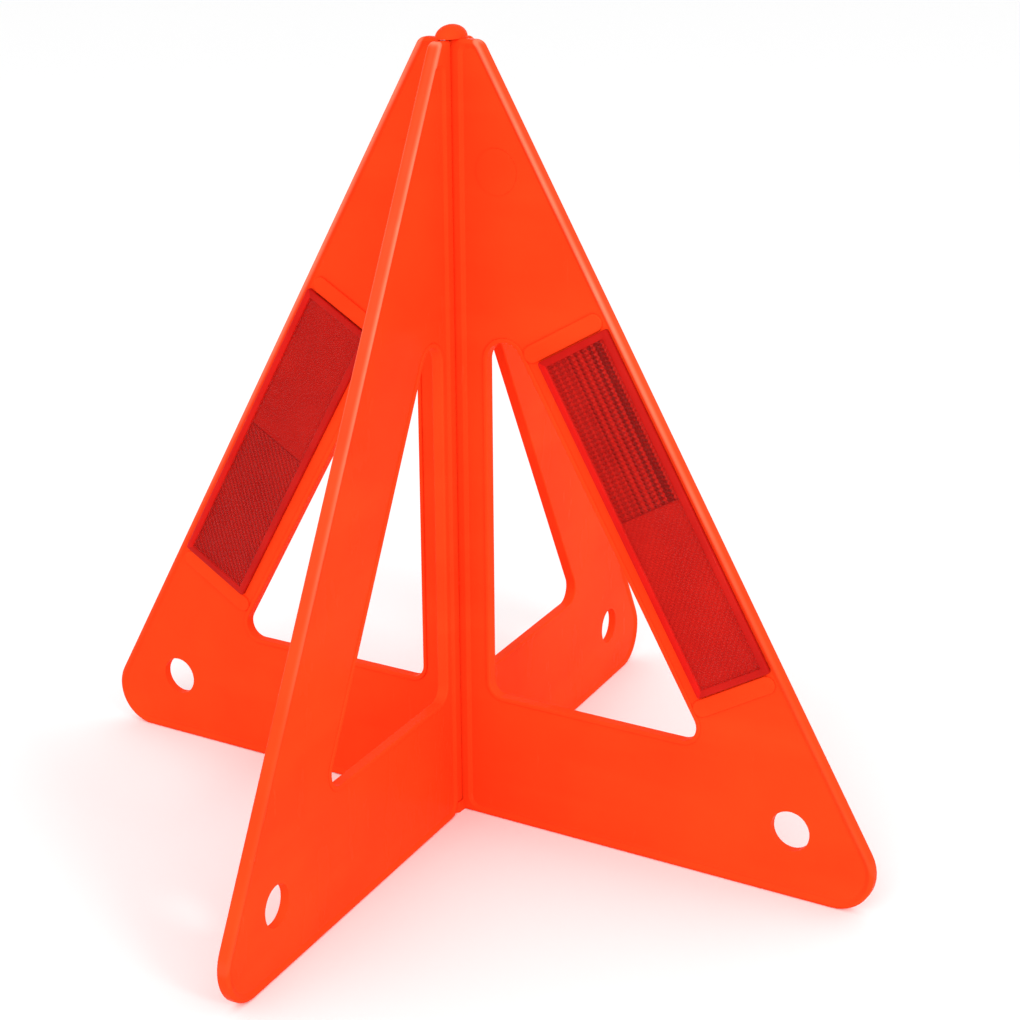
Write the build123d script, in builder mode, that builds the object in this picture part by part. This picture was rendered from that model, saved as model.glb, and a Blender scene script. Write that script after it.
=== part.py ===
"""Folding warning triangle that stands on four legs.

A full triangular panel carries a half-triangle wing on each side. Each wing turns on two short
pins beside the panel's centre line, so the two wings fold flat against the panel's two halves.
+Z is up, the ground is z = 0, the panel lies in the XZ plane and its centre line is the Z axis.
"""
import os
from math import cos, radians, sin, tan

from build123d import *

# Driving dimensions, in millimetres and degrees
foot_reach = 166.3  # centre line to the sharp foot corner, before it is rounded
slant = 30.0  # lean of the sloping edge from the vertical
panel_top = 268.6  # height of the flat top edge
foot_radius = 14.0
shoulder_radius = 3.8
plate_thickness = 4.4  # over the raised border
web_thickness = 3.0  # inside the border
border_width = 2.8  # to the foot of the border's inner slope
border_slope = 1.5
centre_border = 5.2  # centre line to the foot of the panel's raised centre strip
field_radius = 3.4
field_top_radius = 1.6
field_top_width = 4.0  # the least width of a sunk field's top
edge_rounding = 1.2

window_inner = 13.0  # centre line to the window's upright side
left_window_inner = 14.6
window_bottom = 46.3
window_inset = 37.5  # sloping edge to the window's sloping side
window_radii = [5.0, 5.5, 6.8]  # low inner, low outer, top
bead_width = 1.6
bead_height = 0.5
bead_rounding = 0.45

hole_radius = 6.9
hole_reach = 126.6
hole_height = 23.3

# The reflector is placed by its distance in from the sloping edge and its distance along it
reflector_inset = 2.9
reflector_width = 29.0
reflector_length = 120.6
reflector_middle = 68.0
lens_thickness = 1.7
lens_wall = 1.2
lens_face = 0.9
lens_rounding = 0.4
lens_corner = 0.8
back_thickness = 0.6
back_gap = 0.1

rib_width = 6.0
rib_height = 0.8
rib_rounding = 0.45
rib_gap = 0.4  # reflector end to rib
rib_ends = (6.5, 33.0)  # distances in from the sloping edge
disc_radius = 7.5
disc_height = 0.25
disc_place = (17.3, 227.6)

hinge_gap = 0.3
pivot_offset = plate_thickness + hinge_gap
open_angle = 84.0  # between a wing and the half that it folds against
barrel_radius = plate_thickness / 2
barrel_border = 4.4  # pivot to the foot of the barrel's slope
pin_radius = 1.0
pin_clearance = 0.05
pin_in_wing = 10.0
lug_radius = 1.9
lug_height = 4.0
lug_floor = 0.6
notch_reach = 2.7  # corner of the wing cut away round the lug
notch_rounding = 3.2
pin_chamfer = 0.2
cap_length = 14.4
cap_height = 4.2
cap_pin_depth = 1.8
peg_radius = 1.3
peg_length = 8.0

barrel_low = lug_height + hinge_gap
barrel_high = panel_top - hinge_gap
bore_radius = pin_radius + pin_clearance
bore_depth = pin_in_wing + hinge_gap
lean = radians(slant)
up = Vector(0, 0, 1)


def edge_reach(height, inset=0.0):
    """Distance from the centre line to the sloping edge, or to a line inset from it."""
    return foot_reach - inset / cos(lean) - height * tan(lean)


def from_edge(inset, along):
    """Reach and height of a point given by its distances in from the sloping edge and along it."""
    out = foot_reach * cos(lean) - inset
    return out * cos(lean) - along * sin(lean), out * sin(lean) + along * cos(lean)


def half_plane(angle, pivot=0.0):
    """Plane of one half: x runs outwards from the centre line, y upwards. pivot shifts it along Y."""
    outward = Vector(cos(radians(angle)), sin(radians(angle)), 0)
    return Plane(origin=(0, pivot, 0), x_dir=outward, z_dir=outward.cross(up))


def face_plane(half, side, shift, reach, height):
    """Plane on one face of a half's web, with x along the sloping edge. side is 1 or -1."""
    along = half.x_dir * -sin(lean) + up * cos(lean)
    normal = half.z_dir * side
    place = half.origin + half.x_dir * (reach - shift) + up * height + normal * web_thickness / 2
    return Plane(origin=place, x_dir=along, z_dir=normal)


def reflector_plane(half, side, shift):
    reach, height = from_edge(reflector_inset + reflector_width / 2, reflector_middle)
    return face_plane(half, side, shift, reach, height)


def rounded_face(plane, points, radii):
    """Flat face with a rounded corner at each point."""
    with BuildSketch(plane) as face:
        with BuildLine():
            FilletPolyline(*points, radius=radii, close=True)
        make_face()
    return face.sketch


def field(plane, inner, shift=0.0, grow=0.0):
    """Outline of one half's sunk field, or the same outline grown towards the border."""
    border = border_width - grow
    width = edge_reach(0, border_width) - shift - inner
    high = min(panel_top - border_width, (width - field_top_width) / tan(lean)) + grow
    points = [
        (inner - grow, border),
        (edge_reach(border, border) - shift, border),
        (edge_reach(high, border) - shift, high),
        (inner - grow, high),
    ]
    radii = [field_radius, foot_radius - border_width, field_top_radius, field_top_radius]
    return rounded_face(plane, points, [radius + grow for radius in radii])


def window(plane, upright, shift=0.0, grow=0.0):
    """Three-cornered window of one half, or the same shape grown all round."""
    inner, low, inset = upright - grow, window_bottom - grow, window_inset - grow
    peak = (edge_reach(0, inset) - inner) / tan(lean)
    points = [(inner - shift, low), (edge_reach(low, inset) - shift, low), (inner - shift, peak)]
    return rounded_face(plane, points, [radius + grow for radius in window_radii])


def sink_fields(half, inner, shift=0.0):
    """Cuts a half's sunk field, with sloping sides, into both of its faces."""
    for side in (1, -1):
        floor = field(half.offset(side * web_thickness / 2), inner, shift)
        mouth = field(half.offset(side * plate_thickness / 2), inner, shift, border_slope)
        loft([floor, mouth], ruled=True, mode=Mode.SUBTRACT)


def open_window(part, half, upright=window_inner, shift=0.0):
    """Adds the rounded bead round a half's window and cuts the window through it."""
    level = web_thickness / 2 + bead_height
    extrude(window(half, upright, shift, bead_width), level, both=True)
    extrude(window(half, upright, shift), plate_thickness, both=True, mode=Mode.SUBTRACT)

    def on_bead(face):
        place = half.to_local_coords(face.center())
        return place.X > 0 and abs(abs(place.Z) - level) < 0.01

    rims = part.faces().filter_by(Axis(half.origin, half.z_dir)).filter_by(on_bead)
    fillet(rims.edges(), bead_rounding)


def raise_ribs(half, side, shift=0.0):
    """Adds the two ribs at the reflector's ends and the round moulding mark near the top."""
    for end in (1, -1):
        along = reflector_middle + end * (reflector_length / 2 + rib_gap + rib_width / 2)
        plane = face_plane(half, side, shift, *from_edge(sum(rib_ends) / 2, along))
        with BuildPart() as rib:
            with BuildSketch(plane):
                SlotCenterToCenter(rib_ends[1] - rib_ends[0], rib_width, rotation=90)
            extrude(amount=rib_height)
            fillet(rib.faces().sort_by(Axis(plane.origin, plane.z_dir))[-1].edges(), rib_rounding)
        add(rib.part)
    with BuildSketch(face_plane(half, side, shift, *disc_place)) as disc:
        Circle(disc_radius)
    extrude(disc.sketch, amount=disc_height)


def drill_hole(half, shift=0.0):
    with BuildSketch(half) as hole:
        with Locations((hole_reach - shift, hole_height)):
            Circle(hole_radius)
    extrude(hole.sketch, amount=plate_thickness, both=True, mode=Mode.SUBTRACT)


def save(part, label):
    part.label = label
    export_step(part, f"parts/{label}.step")


os.makedirs("parts", exist_ok=True)
right_half = half_plane(0)
left_half = half_plane(180)
near_half = half_plane(-open_angle, -pivot_offset)
far_half = half_plane(180 - open_angle, pivot_offset)

# Main panel: the full triangle, with lugs for the wings' lower pins and a socket for the cap's peg
corners = [
    (-edge_reach(0), 0),
    (edge_reach(0), 0),
    (edge_reach(panel_top), panel_top),
    (-edge_reach(panel_top), panel_top),
]
with BuildPart() as main_panel:
    outline = rounded_face(right_half, corners, [foot_radius] * 2 + [shoulder_radius] * 2)
    extrude(outline, plate_thickness / 2, both=True)
    flat_faces = main_panel.faces().filter_by(Axis.Y)
    fillet(flat_faces.edges(), edge_rounding)
    for half, side, upright in ((right_half, 1, window_inner), (left_half, -1, left_window_inner)):
        sink_fields(half, centre_border)
        open_window(main_panel, half, upright)
        raise_ribs(half, side)
        drill_hole(half)
    with BuildSketch(Plane.XY):
        Rectangle(lug_radius * 2, pivot_offset * 2)
        with Locations((0, pivot_offset), (0, -pivot_offset)):
            Circle(lug_radius)
    extrude(amount=lug_height)
    with BuildSketch(Plane.XY.offset(lug_floor)):
        with Locations((0, pivot_offset), (0, -pivot_offset)):
            Circle(pin_radius)
    extrude(amount=lug_height, mode=Mode.SUBTRACT)
    with BuildSketch(Plane.XY.offset(panel_top)):
        Circle(peg_radius)
    extrude(amount=-peg_length, mode=Mode.SUBTRACT)
save(main_panel.part, "main_panel")


def make_wing(half, side):
    """One wing: a half triangle whose inner edge is the hinge barrel. half's origin is its pivot."""
    shift = pivot_offset
    plate = [
        (0, barrel_low),
        (notch_reach, barrel_low),
        (notch_reach, 0),
        (edge_reach(0) - shift, 0),
        (edge_reach(barrel_high) - shift, barrel_high),
        (0, barrel_high),
    ]
    plate_radii = [0, 0, notch_rounding, foot_radius, shoulder_radius, 0]
    pivot = Axis(half.origin, up)
    with BuildPart() as wing:
        extrude(rounded_face(half, plate, plate_radii), plate_thickness / 2, both=True)
        sides = wing.faces().filter_by(Axis(half.origin, half.z_dir)).edges()
        fillet(sides.filter_by(lambda edge: half.to_local_coords(edge.center()).X > 1), edge_rounding)
        with BuildSketch(half) as barrel:
            with BuildLine():
                low, high = barrel_low, barrel_high
                Polyline((0, high), (0, low), (barrel_radius, low), (barrel_radius, high), close=True)
            make_face()
            fillet(barrel.vertices().group_by(Axis.X)[-1], edge_rounding)
        revolve(barrel.sketch, pivot)
        sink_fields(half, barrel_border, shift)
        open_window(wing, half, shift=shift)
        raise_ribs(half, side, shift)
        drill_hole(half, shift)
        for level, depth in ((barrel_low, bore_depth), (barrel_high, -bore_depth)):
            with BuildSketch(Plane.XY.offset(level)) as bore:
                with Locations((half.origin.X, half.origin.Y)):
                    Circle(bore_radius)
            extrude(bore.sketch, amount=depth, mode=Mode.SUBTRACT)
    return wing.part


save(make_wing(near_half, 1), "near_wing")
save(make_wing(far_half, -1), "far_wing")

# Top cap: a dome over the apex that holds the wings' upper pins
dome = scale(Sphere(cap_height), by=(1, cap_length / 2 / cap_height, 1))
with BuildPart() as top_cap:
    with Locations((0, 0, panel_top)):
        add(dome)
    split(bisect_by=Plane.XY.offset(panel_top), keep=Keep.TOP)
    with BuildSketch(Plane.XY.offset(panel_top)):
        Circle(peg_radius)
    extrude(amount=-(peg_length - hinge_gap))
    with BuildSketch(Plane.XY.offset(panel_top)):
        with Locations((0, pivot_offset), (0, -pivot_offset)):
            Circle(pin_radius)
    extrude(amount=cap_pin_depth, mode=Mode.SUBTRACT)
save(top_cap.part, "top_cap")

# Hinge pins: pressed into the lugs and the cap, running in the wings' barrels
lower_pin = (lug_floor, barrel_low + pin_in_wing)
upper_pin = (barrel_high - pin_in_wing, panel_top + cap_pin_depth)
for wing_name, y in (("near", -pivot_offset), ("far", pivot_offset)):
    for end_name, (low, high) in (("lower", lower_pin), ("upper", upper_pin)):
        with BuildPart() as pin:
            with BuildSketch(Plane.XY.offset(low)):
                with Locations((0, y)):
                    Circle(pin_radius)
            extrude(amount=high - low)
            chamfer(pin.edges().filter_by(GeomType.CIRCLE), pin_chamfer)
        save(pin.part, f"{wing_name}_{end_name}_pin")

# Reflectors: a red lens tray over a flat back, one set on each half and each wing
reflectors = {
    "right": (right_half, 1, 0),
    "left": (left_half, -1, 0),
    "near": (near_half, 1, pivot_offset),
    "far": (far_half, -1, pivot_offset),
}
lens_depth = lens_thickness - lens_face
for place, (half, side, shift) in reflectors.items():
    face = reflector_plane(half, side, shift)
    with BuildPart() as lens:
        with BuildSketch(face):
            RectangleRounded(reflector_length, reflector_width, lens_corner)
        extrude(amount=lens_thickness)
        front = lens.faces().filter_by(Axis(face.origin, face.z_dir))
        front_edges = front.sort_by(Axis(face.origin, face.z_dir))[-1].edges()
        fillet(front_edges, lens_rounding)
        with BuildSketch(face):
            Rectangle(reflector_length - 2 * lens_wall, reflector_width - 2 * lens_wall)
        extrude(amount=lens_depth, mode=Mode.SUBTRACT)
    save(lens.part, f"{place}_reflector_lens")
    rim = 2 * (lens_wall + back_gap)
    with BuildPart() as back:
        with BuildSketch(face):
            Rectangle(reflector_length - rim, reflector_width - rim)
        extrude(amount=back_thickness)
    save(back.part, f"{place}_reflector_back")
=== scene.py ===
"""Looks of a folding four-legged warning triangle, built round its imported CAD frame."""
from math import cos, pi, radians, sin, sqrt

import bmesh
import bpy
from mathutils import Matrix, Vector


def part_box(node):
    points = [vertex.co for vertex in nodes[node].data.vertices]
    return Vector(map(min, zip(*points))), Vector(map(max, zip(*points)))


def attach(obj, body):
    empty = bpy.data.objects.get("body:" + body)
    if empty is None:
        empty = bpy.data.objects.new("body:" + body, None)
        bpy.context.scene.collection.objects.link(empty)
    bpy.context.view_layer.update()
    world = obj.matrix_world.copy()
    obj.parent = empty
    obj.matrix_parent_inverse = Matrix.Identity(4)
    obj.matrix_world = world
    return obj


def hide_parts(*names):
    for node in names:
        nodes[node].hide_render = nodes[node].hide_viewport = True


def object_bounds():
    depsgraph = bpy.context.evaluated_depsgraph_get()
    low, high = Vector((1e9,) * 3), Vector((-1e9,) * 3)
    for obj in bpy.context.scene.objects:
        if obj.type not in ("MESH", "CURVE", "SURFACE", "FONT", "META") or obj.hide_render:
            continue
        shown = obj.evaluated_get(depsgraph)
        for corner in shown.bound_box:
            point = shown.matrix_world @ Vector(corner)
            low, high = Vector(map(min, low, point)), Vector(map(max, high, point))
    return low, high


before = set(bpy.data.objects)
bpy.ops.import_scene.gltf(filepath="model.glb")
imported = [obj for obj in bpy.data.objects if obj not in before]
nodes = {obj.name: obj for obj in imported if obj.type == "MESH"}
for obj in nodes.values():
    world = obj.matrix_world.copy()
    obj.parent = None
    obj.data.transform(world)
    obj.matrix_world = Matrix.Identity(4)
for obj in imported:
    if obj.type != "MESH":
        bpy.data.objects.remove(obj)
cad_low, cad_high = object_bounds()
scene = bpy.context.scene

MM = 0.001
LEAN = pi / 6      # every sloping edge leans this far from upright
WING_ANGLE = 84    # degrees between a wing at rest and its half of the panel

# ---------------------------------------------------------------- camera
AZIMUTH, ELEVATION, ROLL = 31.687, 18.65, -0.435   # degrees
LENS, SENSOR = 78.19, 36                           # millimetres
DISTANCE, AIM_SIDE, AIM_HEIGHT = 0.751452, 0.017441, 0.110664
CLIP_START, CLIP_END = 0.01, 60


def make_camera():
    azimuth, elevation, roll = radians(AZIMUTH), radians(ELEVATION), radians(ROLL)
    back = Vector((sin(azimuth) * cos(elevation), -cos(azimuth) * cos(elevation), sin(elevation)))
    level = Vector((cos(azimuth), sin(azimuth), 0))
    above = back.cross(level)
    right = level * cos(roll) + above * sin(roll)
    up = above * cos(roll) - level * sin(roll)
    turn = Matrix((right, up, back)).transposed().to_4x4()
    turn.translation = level * AIM_SIDE + Vector((0, 0, AIM_HEIGHT)) + back * DISTANCE
    data = bpy.data.cameras.new("camera")
    data.lens = LENS
    data.sensor_width = SENSOR
    data.clip_start, data.clip_end = CLIP_START, CLIP_END
    camera = bpy.data.objects.new("camera", data)
    camera.matrix_world = turn
    scene.collection.objects.link(camera)
    scene.camera = camera


# ---------------------------------------------------------------- material nodes
PLASTIC_IOR = 1.49


def new_material(name):
    material = bpy.data.materials.new(name)
    material.use_nodes = True
    tree = material.node_tree
    return material, tree, tree.nodes["Principled BSDF"]


def noise(tree, scale, detail=4.0, rough=0.55, stretch=(1, 1, 1)):
    place = tree.nodes.new("ShaderNodeTexCoord")
    mapping = tree.nodes.new("ShaderNodeMapping")
    mapping.inputs["Scale"].default_value = stretch
    tree.links.new(place.outputs["Object"], mapping.inputs["Vector"])
    node = tree.nodes.new("ShaderNodeTexNoise")
    node.inputs["Scale"].default_value = scale
    node.inputs["Detail"].default_value = detail
    node.inputs["Roughness"].default_value = rough
    tree.links.new(mapping.outputs["Vector"], node.inputs["Vector"])
    return node.outputs["Fac"]


def spread(tree, value, low, high, from_low=0.3, from_high=0.7):
    """Runs from low to high while value runs from from_low to from_high."""
    node = tree.nodes.new("ShaderNodeMapRange")
    node.inputs["From Min"].default_value = from_low
    node.inputs["From Max"].default_value = from_high
    node.inputs["To Min"].default_value = low
    node.inputs["To Max"].default_value = high
    tree.links.new(value, node.inputs["Value"])
    return node.outputs["Result"]


def math_node(tree, operation, first, second=0.0):
    """A Math node; each input is a number or another node's output."""
    node = tree.nodes.new("ShaderNodeMath")
    node.operation = operation
    for socket, value in zip(node.inputs, (first, second)):
        if isinstance(value, (int, float)):
            socket.default_value = value
        else:
            tree.links.new(value, socket)
    return node.outputs[0]


def blend_colours(tree, factor, first, second):
    """Mixes two colours; each is a plain colour or another node's output."""
    node = tree.nodes.new("ShaderNodeMix")
    node.data_type = "RGBA"
    tree.links.new(factor, node.inputs["Factor"])
    for socket, colour in ((node.inputs[6], first), (node.inputs[7], second)):
        if isinstance(colour, tuple):
            socket.default_value = (*colour, 1)
        else:
            tree.links.new(colour, socket)
    return node.outputs[2]


def bump(tree, height, strength, distance, before=None):
    node = tree.nodes.new("ShaderNodeBump")
    node.inputs["Strength"].default_value = strength
    node.inputs["Distance"].default_value = distance
    tree.links.new(height, node.inputs["Height"])
    if before is not None:
        tree.links.new(before, node.inputs["Normal"])
    return node.outputs["Normal"]


def gloss(shader, level, tint):
    shader.inputs["IOR"].default_value = PLASTIC_IOR
    shader.inputs["Specular IOR Level"].default_value = level
    shader.inputs["Specular Tint"].default_value = (*tint, 1)


# ---------------------------------------------------------------- materials
PIGMENT_DEEP, PIGMENT_LIGHT = (0.93, 0.047, 0.0085), (0.96, 0.060, 0.0105)
# The last colour on the next line is a painted highlight for the crests of the sloping edges.
FLOW_MARK, SCUFFED, CREST_HIGHLIGHT = (0.97, 0.070, 0.013), (0.97, 0.105, 0.035), (0.98, 0.200, 0.110)

# The painted highlight along the rounded crest of the sloping edges, a lighter colour that stands
# in for a lamp's gleam on them. SLOPE_LINE runs square to an edge's line from the hinge line's
# foot, and the crest lies CREST_INSET inside it. It is at full strength up to CREST_FLAT of
# CREST_WIDTH from its middle, and fades in between the two heights.
SLOPE_LINE = 144.0 * MM
CREST_INSET, CREST_WIDTH, CREST_FLAT = 0.95 * MM, 1.05 * MM, 0.35
CREST_LOW, CREST_HIGH, CREST_FAINTEST = 75 * MM, 175 * MM, 0.08


def painted_crest_highlight(tree):
    """Mask of the painted highlight: one on the rounded crest of every sloping edge, strongest near
    the top and faint below, and nought elsewhere. All four legs stand round the hinge line, so a
    point's distance from that line and its height give the place."""
    place = tree.nodes.new("ShaderNodeTexCoord")
    split = tree.nodes.new("ShaderNodeSeparateXYZ")
    tree.links.new(place.outputs["Object"], split.inputs[0])
    x, y, z = split.outputs
    squares = math_node(tree, "ADD", math_node(tree, "MULTIPLY", x, x),
                        math_node(tree, "MULTIPLY", y, y))
    out = math_node(tree, "SQRT", squares)
    reach = math_node(tree, "ADD", math_node(tree, "MULTIPLY", out, cos(LEAN)),
                      math_node(tree, "MULTIPLY", z, sin(LEAN)))
    off = math_node(tree, "ABSOLUTE",
                    math_node(tree, "SUBTRACT", reach, SLOPE_LINE - CREST_INSET))
    on_crest = spread(tree, off, 1, 0, CREST_WIDTH * CREST_FLAT, CREST_WIDTH)
    fade = spread(tree, z, CREST_FAINTEST, 1, CREST_LOW, CREST_HIGH)
    return math_node(tree, "MULTIPLY", on_crest, fade)


def orange_plastic():
    """Fluorescent orange-red moulding: cloudy pigment, flow marks from the gate, light scuffs from
    handling, and a painted highlight on the crests of the sloping edges."""
    material, tree, shader = new_material("orange_plastic")
    cloud = noise(tree, 16.0)
    flow = noise(tree, 30.0, 3.0, 0.5, (0.35, 0.35, 1.6))
    scuff = spread(tree, noise(tree, 260.0, 5.0, 0.7, (1, 1, 0.14)), 0, 1, 0.66, 0.76)
    # noise that breaks up the painted crest highlight
    highlight_patchiness = spread(tree, noise(tree, 45.0, 5.0, 0.6), 0.6, 1.0)
    pigment = blend_colours(tree, spread(tree, cloud, 0, 1), PIGMENT_DEEP, PIGMENT_LIGHT)
    pigment = blend_colours(tree, spread(tree, flow, 0, 0.5, 0.5, 0.75), pigment, FLOW_MARK)
    pigment = blend_colours(tree, spread(tree, scuff, 0, 0.35, 0, 1), pigment, SCUFFED)
    # painted highlight: a lighter orange on the crests of the sloping edges
    highlight_mask = math_node(tree, "MULTIPLY", painted_crest_highlight(tree), highlight_patchiness)
    pigment = blend_colours(tree, highlight_mask, pigment, CREST_HIGHLIGHT)
    tree.links.new(pigment, shader.inputs["Base Color"])
    smear = spread(tree, noise(tree, 70.0, 5.0, 0.6, (1, 1, 0.4)), 0.20, 0.30)
    rough = math_node(tree, "ADD", smear, spread(tree, scuff, 0, 0.15, 0, 1))
    tree.links.new(rough, shader.inputs["Roughness"])
    normal = bump(tree, noise(tree, 28.0, 2.0), 0.3, 0.8 * MM)
    normal = bump(tree, noise(tree, 2400.0, 2.0), 0.12, 0.04 * MM, normal)
    tree.links.new(normal, shader.inputs["Normal"])
    gloss(shader, 0.006, (1.0, 0.85, 0.7))
    return material


def red_plastic(name, first, second, rough):
    """Red moulding whose colour drifts between two. rough is its least roughness."""
    material, tree, shader = new_material(name)
    colour = blend_colours(tree, spread(tree, noise(tree, 55.0), 0, 1), first, second)
    tree.links.new(colour, shader.inputs["Base Color"])
    haze = spread(tree, noise(tree, 220.0), rough, rough + 0.12)
    tree.links.new(haze, shader.inputs["Roughness"])
    tree.links.new(bump(tree, noise(tree, 900.0, 2.0), 0.08, 0.04 * MM), shader.inputs["Normal"])
    gloss(shader, 0.05, (1.0, 0.35, 0.30))
    return material


def clear_cover():
    """The lens's flat outer skin, seen as a faint gloss over its cells."""
    material, tree, shader = new_material("reflector_cover")
    haze = noise(tree, 90.0)
    colour = blend_colours(tree, spread(tree, haze, 0, 1), (0.60, 0.012, 0.008),
                           (0.70, 0.020, 0.012))
    tree.links.new(colour, shader.inputs["Base Color"])
    tree.links.new(spread(tree, haze, 0.06, 0.16), shader.inputs["Roughness"])
    shader.inputs["Alpha"].default_value = 0.16
    gloss(shader, 0.3, (1.0, 0.5, 0.45))
    material.surface_render_method = "BLENDED"
    return material


def pin_steel():
    """Drawn steel wire, with its fine lines along the pin."""
    material, tree, shader = new_material("pin_steel")
    drawn = noise(tree, 900.0, 3.0, 0.6, (1, 1, 0.04))
    colour = blend_colours(tree, spread(tree, drawn, 0, 1), (0.50, 0.50, 0.51), (0.66, 0.66, 0.67))
    tree.links.new(colour, shader.inputs["Base Color"])
    tree.links.new(spread(tree, drawn, 0.22, 0.38), shader.inputs["Roughness"])
    tree.links.new(bump(tree, drawn, 0.2, 0.05 * MM), shader.inputs["Normal"])
    shader.inputs["Metallic"].default_value = 1.0
    return material


def dress(node, material):
    data = nodes[node].data
    data.materials.clear()
    data.materials.append(material)


# ---------------------------------------------------------------- reflectors
# Each lens is a tray: a clear red rim, and inside it two fields of hexagonal three-faced prisms
# under a flat skin. Sizes are in millimetres: along the strip, across it, up from the leg's face.
LENGTH, WIDTH, THICKNESS = 120.6, 29.0, 1.7
RIM, SKIN, FIELD_FLOOR = 2.4, 1.55, 0.75
SKIN_OVERLAP, SKIN_RADIUS = 0.02, 0.42
# The rim's section from its outer foot over the top to its inner foot: inset, height, corner radius
RIM_PROFILE = ((0, 0.02, 0.8), (0, 1.34, 0.8), (0.1, 1.58, 0.75), (0.36, 1.7, 0.6),
               (RIM - 0.25, 1.7, 0.5), (RIM - 0.08, 1.64, 0.45), (RIM, SKIN, 0.4), (RIM, 0.5, 0.4))
CORNER_STEPS = 4
# margin for the rim faces that take the painted glow on one long side
PAINTED_GLOW_MARGIN = 0.05
MIDDLE = 2.0       # where the two fields meet, above the strip's centre
SEAM = 0.2         # half the gap between them
SHOULDER = 0.5     # a prism's three raised corners, as a part of its point's height
WELD = 0.001

# Materials of a reflector's faces, in the order of the numbers that its mesh uses. The glowing rim
# is the plain rim's red made brighter, a painted glow, and the four cell materials are one red in
# painted shades that stand in for shadow and reflection on the prism faces.
RIM_DIM, RIM_PAINTED_GLOW, SKIN_CLEAR, PAINTED_DARK, PAINTED_DIM, PAINTED_MID, PAINTED_BRIGHT = range(7)
# Fields: pitch, height of the points, turn in degrees, and bands as prism_field takes them.
# In COARSE the painted shades darken across the field towards a painted rim shadow near its far
# long side.
COARSE = (1.6, 0.45, 0, (
    (-WIDTH, ((PAINTED_DIM, PAINTED_DIM, PAINTED_MID), (PAINTED_MID, PAINTED_MID, PAINTED_DIM))),
    (-3.0, ((PAINTED_DIM, PAINTED_DARK, PAINTED_DIM), (PAINTED_MID, PAINTED_BRIGHT, PAINTED_MID))),
    (3.5, ((PAINTED_DARK, PAINTED_DARK, PAINTED_DIM), (PAINTED_MID, PAINTED_BRIGHT, PAINTED_DIM))),
    # painted shadow of the rim: every face dark in this strip
    (8.2, ((PAINTED_DARK, PAINTED_DARK, PAINTED_DARK), (PAINTED_DARK, PAINTED_DIM, PAINTED_DARK))),
    (10.2, ((PAINTED_MID, PAINTED_MID, PAINTED_BRIGHT), (PAINTED_MID, PAINTED_BRIGHT, PAINTED_MID)))))
SMOOTH = (1.0, 0.12, 45, ((-WIDTH, ((PAINTED_MID, PAINTED_BRIGHT, PAINTED_MID), (PAINTED_MID, PAINTED_MID, PAINTED_MID))),))
PLAIN = (0.8, 0.05, 45, ((-WIDTH, ((PAINTED_MID, PAINTED_MID, PAINTED_MID), (PAINTED_MID, PAINTED_MID, PAINTED_MID))),))
HATCHED = (0.95, 0.16, 45, ((-WIDTH, ((PAINTED_DIM, PAINTED_DIM, PAINTED_DIM), (PAINTED_MID, PAINTED_MID, PAINTED_MID))),))


def rounded_loop(mesh, inset, height, radius):
    """A rectangle with rounded corners, as a closed run of vertices."""
    half_x, half_y = LENGTH / 2 - inset - radius, WIDTH / 2 - inset - radius
    loop = []
    for corner, (sx, sy) in enumerate(((1, 1), (-1, 1), (-1, -1), (1, -1))):
        for step in range(CORNER_STEPS + 1):
            turn = pi / 2 * (corner + step / CORNER_STEPS)
            x, y = sx * half_x + radius * cos(turn), sy * half_y + radius * sin(turn)
            loop.append(mesh.verts.new((x, y, height)))
    return loop


def bridge(mesh, first, second, glow_side):
    """Joins two loops. The last argument, 1 or -1, picks the long side of the rim with a painted
    glow.
    """
    for i in range(len(first)):
        j = (i + 1) % len(first)
        face = mesh.faces.new((first[i], first[j], second[j], second[i]))
        gets_painted_glow = face.calc_center_median().y * glow_side > WIDTH / 2 - RIM - PAINTED_GLOW_MARGIN
        face.material_index = RIM_PAINTED_GLOW if gets_painted_glow else RIM_DIM
        face.smooth = True


def add_rim(mesh, glow_side):
    """The rim with the flat faces at both ends of its section, and the clear skin inside it."""
    loops = [rounded_loop(mesh, inset, height, radius) for inset, height, radius in RIM_PROFILE]
    for lower, upper in zip(loops, loops[1:]):
        bridge(mesh, lower, upper, glow_side)
    mesh.faces.new(list(reversed(loops[0]))).material_index = RIM_DIM
    mesh.faces.new(loops[-1]).material_index = RIM_DIM
    skin = rounded_loop(mesh, RIM - SKIN_OVERLAP, SKIN, SKIN_RADIUS)
    mesh.faces.new(skin).material_index = SKIN_CLEAR


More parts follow.
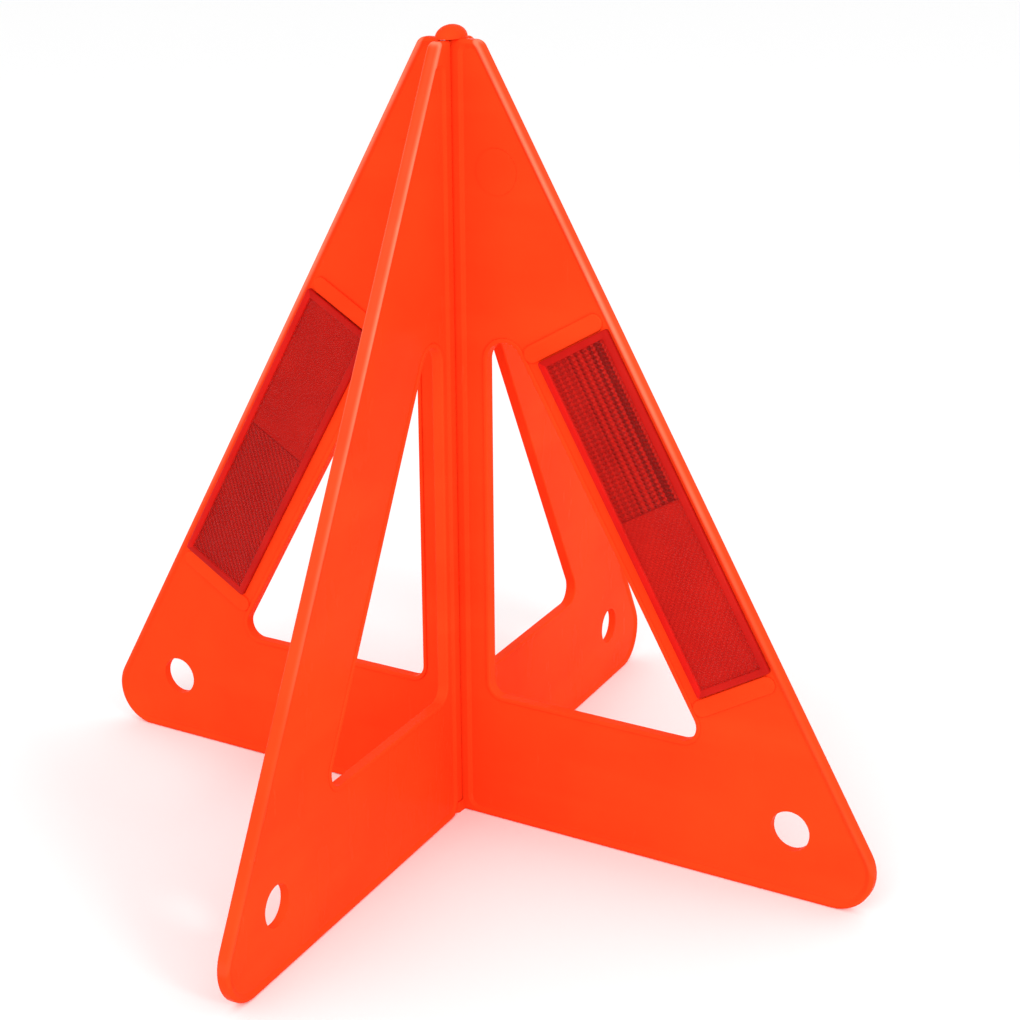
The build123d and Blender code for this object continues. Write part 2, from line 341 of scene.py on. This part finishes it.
def prism_field(low, high, pitch, depth, turn, bands):
    """A rectangle of hexagonal prisms, each with three faces that meet at its point. low and high
    are the field's ends along the strip. bands gives the faces' materials for two rows in turn, in
    strips that start so far across the field. These materials are painted shades that stand in for
    shadow and reflection in the cells."""
    mesh = bmesh.new()
    edge = WIDTH / 2 - RIM
    centre = (low + high) / 2
    reach = int((high - low + 2 * edge) / pitch) + 2
    radius = pitch / sqrt(3)
    spin = Matrix.Rotation(radians(turn), 3, "Z")
    for row in range(-reach, reach + 1):
        for column in range(-reach, reach + 1):
            middle = spin @ Vector((pitch * (column + row % 2 / 2), row * pitch * sqrt(3) / 2, 0))
            middle.x += centre
            if not (low - pitch < middle.x < high + pitch and abs(middle.y) < edge + pitch):
                continue
            # the painted shades of this prism's three faces
            shades = [pair for start, pair in bands if middle.y > start][-1][row % 2]
            tip = mesh.verts.new(middle + Vector((0, 0, FIELD_FLOOR + depth)))
            ring = []
            for k in range(6):
                angle = radians(30 + 60 * k)
                corner = middle + spin @ Vector((radius * cos(angle), radius * sin(angle), 0))
                rise = depth * (SHOULDER if k % 2 == 0 else 0)
                ring.append(mesh.verts.new(corner + Vector((0, 0, FIELD_FLOOR + rise))))
            for k in range(3):
                face = mesh.faces.new((tip, ring[2 * k], ring[2 * k + 1], ring[(2 * k + 2) % 6]))
                face.material_index = shades[k]
    bmesh.ops.remove_doubles(mesh, verts=mesh.verts, dist=WELD)
    for point, way in (((low, 0, 0), (-1, 0, 0)), ((high, 0, 0), (1, 0, 0)),
                       ((0, -edge, 0), (0, -1, 0)), ((0, edge, 0), (0, 1, 0))):
        bmesh.ops.bisect_plane(mesh, geom=mesh.verts[:] + mesh.edges[:] + mesh.faces[:],
                               plane_co=point, plane_no=way, clear_outer=True)
    return mesh


def make_reflector(name, body, outward_angle, side, glow_side, upper, lower):
    """Builds a tray in the place of its CAD lens. outward_angle is the way from the hinge line out
    along the leg. side is 1 or -1, the face of the leg it is on. upper and lower are its fields."""
    mesh = bmesh.new()
    add_rim(mesh, glow_side)
    inside = LENGTH / 2 - RIM
    for start, end, settings in ((MIDDLE + SEAM, inside, upper), (-inside, MIDDLE - SEAM, lower)):
        field = prism_field(start, end, *settings)
        scratch = bpy.data.meshes.new("field")
        field.to_mesh(scratch)
        field.free()
        mesh.from_mesh(scratch)
        bpy.data.meshes.remove(scratch)
    outward = Vector((cos(radians(outward_angle)), sin(radians(outward_angle)), 0))
    up = Vector((0, 0, 1))
    along = up * cos(LEAN) - outward * sin(LEAN)
    across = outward * cos(LEAN) + up * sin(LEAN)
    normal = outward.cross(up) * side
    low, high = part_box(name + "_lens")
    place = Matrix((along, across, normal)).transposed().to_4x4()
    place.translation = (low + high) / 2 - normal * THICKNESS / 2 * MM
    mesh.transform(place @ Matrix.Scale(MM, 4))
    if along.cross(across).dot(normal) < 0:
        bmesh.ops.reverse_faces(mesh, faces=mesh.faces)
    data = bpy.data.meshes.new(name + "_prisms")
    mesh.to_mesh(data)
    mesh.free()
    for material in REFLECTOR_REDS:
        data.materials.append(material)
    piece = bpy.data.objects.new(name + "_prisms", data)
    scene.collection.objects.link(piece)
    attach(piece, body)
    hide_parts(name + "_lens")


# ---------------------------------------------------------------- studio
FLOOR_HALF = 25.0
FLOOR_SHADE, FLOOR_ROUGHNESS, FLOOR_SPECULAR = 0.97, 0.9, 0.1
WORLD_STRENGTH = 1.0


def make_floor():
    mesh = bpy.data.meshes.new("floor")
    signs = ((-1, -1), (1, -1), (1, 1), (-1, 1))
    corners = [(sx * FLOOR_HALF, sy * FLOOR_HALF, 0) for sx, sy in signs]
    mesh.from_pydata(corners, [], [(0, 1, 2, 3)])
    floor = bpy.data.objects.new("floor", mesh)
    scene.collection.objects.link(floor)
    floor.location.z = cad_low.z
    material, tree, shader = new_material("floor")
    shader.inputs["Base Color"].default_value = (FLOOR_SHADE, FLOOR_SHADE, FLOOR_SHADE, 1)
    shader.inputs["Roughness"].default_value = FLOOR_ROUGHNESS
    shader.inputs["Specular IOR Level"].default_value = FLOOR_SPECULAR
    mesh.materials.append(material)


def area_light(name, place, aim, size, power):
    data = bpy.data.lights.new(name, "AREA")
    data.shape = "RECTANGLE"
    data.size, data.size_y = size
    data.energy = power
    light = bpy.data.objects.new(name, data)
    light.location = place
    light.rotation_mode = "QUATERNION"
    light.rotation_quaternion = (Vector(aim) - Vector(place)).to_track_quat("-Z", "Y")
    scene.collection.objects.link(light)


def make_world():
    world = bpy.data.worlds.new("studio")
    world.use_nodes = True
    background = world.node_tree.nodes["Background"]
    background.inputs["Color"].default_value = (1, 1, 1, 1)
    background.inputs["Strength"].default_value = WORLD_STRENGTH
    scene.world = world


# ---------------------------------------------------------------- the scene
make_camera()
scene.view_settings.view_transform = "Standard"

ORANGE = orange_plastic()
# The glowing rim's red is a painted glow, and the four cell reds are painted shades of one red.
REFLECTOR_REDS = (
    red_plastic("reflector_rim", (0.43, 0.010, 0.008), (0.52, 0.014, 0.010), 0.10),
    red_plastic("reflector_rim_painted_glow", (0.58, 0.010, 0.007), (0.68, 0.013, 0.009), 0.10),
    clear_cover(),
    red_plastic("reflector_cell_painted_dark", (0.09, 0.006, 0.006), (0.14, 0.008, 0.007), 0.15),
    red_plastic("reflector_cell_painted_dim", (0.24, 0.009, 0.008), (0.30, 0.011, 0.009), 0.15),
    red_plastic("reflector_cell_painted_mid", (0.40, 0.011, 0.009), (0.47, 0.014, 0.010), 0.15),
    red_plastic("reflector_cell_painted_bright", (0.54, 0.018, 0.012), (0.62, 0.022, 0.014), 0.15),
)
BACK = red_plastic("reflector_back", (0.30, 0.010, 0.010), (0.34, 0.012, 0.012), 0.5)
STEEL = pin_steel()
for node in nodes:
    if node.endswith("pin"):
        dress(node, STEEL)
    elif node.endswith("back"):
        dress(node, BACK)
    elif not node.endswith("lens"):
        dress(node, ORANGE)

# The fifth argument is the long side of the rim that gets the painted glow.
make_reflector("right_reflector", "panel", 0, 1, -1, COARSE, SMOOTH)
make_reflector("left_reflector", "panel", 180, -1, 1, PLAIN, HATCHED)
make_reflector("near_reflector", "near_leg", -WING_ANGLE, 1, -1, COARSE, SMOOTH)
make_reflector("far_reflector", "far_leg", 180 - WING_ANGLE, -1, 1, PLAIN, HATCHED)

make_floor()
make_world()
area_light("key", (0.5, -1.9, 1.4), (0, 0, 0.1), (1.0, 1.0), 13)
area_light("side", (1.5, -0.62, 0.75), (0, 0, 0.14), (0.34, 0.2), 7)
